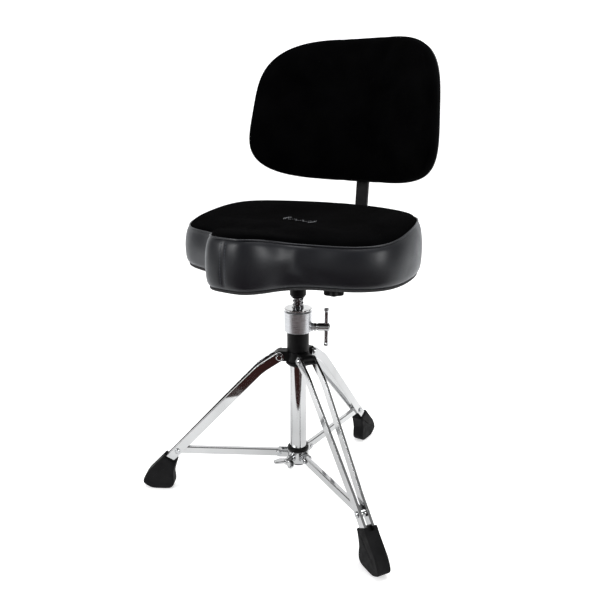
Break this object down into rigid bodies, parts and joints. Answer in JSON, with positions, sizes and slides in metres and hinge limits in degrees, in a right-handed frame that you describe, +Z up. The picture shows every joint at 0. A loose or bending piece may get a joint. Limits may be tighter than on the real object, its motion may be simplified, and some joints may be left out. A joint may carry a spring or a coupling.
{
  "type": "drum throne",
  "caption": "Drum throne: saddle seat and backrest on a threaded height spindle, over a folding tripod of double legs with a sliding collar and braces.",
  "frame": {"origin": "floor level under the middle of the object's floor plan; the spindle stands 46.7 mm from it towards -Y", "axes": "+Z up, -Y the way the sitter faces, +Y the backrest, +X to the left of the sitter"},
  "size_m": [0.546, 0.5246, 0.8617],
  "materials": {
    "chrome": "polished chrome plate",
    "satin_silver": "satin silver",
    "steel": "zinc plated steel",
    "black_plastic": "moulded, lightly textured",
    "black_metal": "black powder coat",
    "rubber": "matte moulded rubber",
    "nylon": "natural nylon",
    "plywood": "raw plywood",
    "foam": "upholstery foam",
    "vinyl": "grained dark vinyl with lighter welts",
    "velour": "black velour with a short pile"
  },
  "bodies": {
    "root": {"main_tube": "chrome", "tube_end_plug": "black_plastic", "black_sleeve": "black_plastic", "upper_collar": "satin_silver", "threaded_insert": "steel", "collar_cap": "chrome", "leg_hub": "black_plastic", "hub_pin_1": "steel", "hub_pin_2": "steel", "hub_pin_3": "steel"},
    "leg_1": {"leg_1_bar_left": "chrome", "leg_1_bar_right": "chrome", "leg_1_foot": "rubber", "leg_1_rivet_left": "steel", "leg_1_rivet_right": "steel"},
    "leg_2": {"leg_2_bar_left": "chrome", "leg_2_bar_right": "chrome", "leg_2_foot": "rubber", "leg_2_rivet_left": "steel", "leg_2_rivet_right": "steel"},
    "leg_3": {"leg_3_bar_left": "chrome", "leg_3_bar_right": "chrome", "leg_3_foot": "rubber", "leg_3_rivet_left": "steel", "leg_3_rivet_right": "steel"},
    "lower_collar": {"lower_collar": "chrome", "collar_ring": "black_plastic", "brace_pin_1": "steel", "brace_pin_2": "steel", "brace_pin_3": "steel"},
    "wing_bolt": {"wing_bolt": "chrome"},
    "brace_1": {"brace_1": "chrome"},
    "brace_2": {"brace_2": "chrome"},
    "brace_3": {"brace_3": "chrome"},
    "lock_bolt": {"lock_bolt": "chrome"},
    "lock_bar": {"lock_bar": "chrome"},
    "spindle_guide": {"spindle_guide": "nylon"},
    "seat": {"spindle": "chrome", "guide_clip": "steel", "spindle_hub": "black_metal", "seat_plate": "black_metal", "seat_bolt_1": "steel", "seat_bolt_2": "steel", "seat_bolt_3": "steel", "seat_bolt_4": "steel", "seat_board": "plywood", "seat_foam": "foam", "seat_cover": "vinyl", "rail_bracket": "black_metal"},
    "depth_knob": {"depth_knob": "black_plastic"},
    "back_post": {"back_post": "black_metal", "post_cap": "black_plastic"},
    "backrest": {"back_bracket": "black_metal", "back_bolt_1": "steel", "back_bolt_2": "steel", "back_board": "black_plastic", "back_foam": "foam", "back_cover": "velour"},
    "height_knob": {"height_knob": "black_plastic"}
  },
  "joints": [
    {"name": "leg_1_fold", "type": "hinge", "parent": "root", "child": "leg_1", "pos_m": [0, -0.0127, 0.284], "axis": [-1, 0, 0], "range_deg": [0, 40]},
    {"name": "leg_2_fold", "type": "hinge", "parent": "root", "child": "leg_2", "pos_m": [-0.02944, -0.0637, 0.284], "axis": [0.5, -0.866, 0], "range_deg": [0, 40.1]},
    {"name": "leg_3_fold", "type": "hinge", "parent": "root", "child": "leg_3", "pos_m": [0.02944, -0.0637, 0.284], "axis": [0.5, 0.866, 0], "range_deg": [0, 40.1]},
    {"name": "collar_slide", "type": "slide", "parent": "root", "child": "lower_collar", "axis": [0, 0, 1], "range_m": [0, 0.11621]},
    {"name": "brace_1_swing", "type": "hinge", "parent": "lower_collar", "child": "brace_1", "pos_m": [0, -0.0107, 0.0824], "axis": [-1, 0, 0], "range_deg": [0, 83.36]},
    {"name": "brace_2_swing", "type": "hinge", "parent": "lower_collar", "child": "brace_2", "pos_m": [-0.03118, -0.0647, 0.0824], "axis": [0.5, -0.866, 0], "range_deg": [0, 83.36]},
    {"name": "brace_3_swing", "type": "hinge", "parent": "lower_collar", "child": "brace_3", "pos_m": [0.03118, -0.0647, 0.0824], "axis": [0.5, 0.866, 0], "range_deg": [0, 83.36]},
    {"name": "wing_turn", "type": "hinge", "parent": "lower_collar", "child": "wing_bolt", "pos_m": [0, -0.0677, 0.079], "axis": [0, -1, 0], "range_deg": [0, 720]},
    {"name": "lock_turn", "type": "hinge", "parent": "root", "child": "lock_bolt", "pos_m": [0.052, -0.0167, 0.3396], "axis": [0.866, 0.5, 0], "range_deg": [0, 720]},
    {"name": "lock_bar_slide", "type": "slide", "parent": "lock_bolt", "child": "lock_bar", "axis": [0, 0, 1], "range_m": [-0.022, 0.022]},
    {"name": "seat_height", "type": "slide", "parent": "root", "child": "spindle_guide", "axis": [0, 0, 1], "range_m": [-0.01401, 0.10501]},
    {"name": "seat_spin", "type": "hinge", "parent": "spindle_guide", "child": "seat", "pos_m": [0, -0.0467, 0.1627], "axis": [0, 0, 1], "range_deg": [-720, 5400]},
    {"name": "depth_slide", "type": "slide", "parent": "seat", "child": "back_post", "axis": [0, 1, 0], "range_m": [-0.01, 0.05]},
    {"name": "depth_knob_turn", "type": "hinge", "parent": "seat", "child": "depth_knob", "pos_m": [0, 0.0833, 0.3908], "axis": [0, 0, -1], "range_deg": [0, 720]},
    {"name": "height_slide", "type": "slide", "parent": "back_post", "child": "backrest", "axis": [0, 0.0924, 0.9957], "range_m": [-0.03, 0.04]},
    {"name": "height_knob_turn", "type": "hinge", "parent": "backrest", "child": "height_knob", "pos_m": [0, 0.2249, 0.7194], "axis": [0, 0.9957, -0.0924], "range_deg": [0, 720]}
  ],
  "couplings": [
    {"joint": "leg_2_fold", "follows": "leg_1_fold", "ratio": 1},
    {"joint": "leg_3_fold", "follows": "leg_1_fold", "ratio": 1},
    {"joint": "collar_slide", "follows": "leg_1_fold", "m_per_rad": 0.16632},
    {"joint": "brace_1_swing", "follows": "leg_1_fold", "ratio": 2.0815},
    {"joint": "brace_2_swing", "follows": "leg_1_fold", "ratio": 2.0815},
    {"joint": "brace_3_swing", "follows": "leg_1_fold", "ratio": 2.0815},
    {"joint": "seat_height", "follows": "seat_spin", "m_per_rad": 0.0011141}
  ]
}
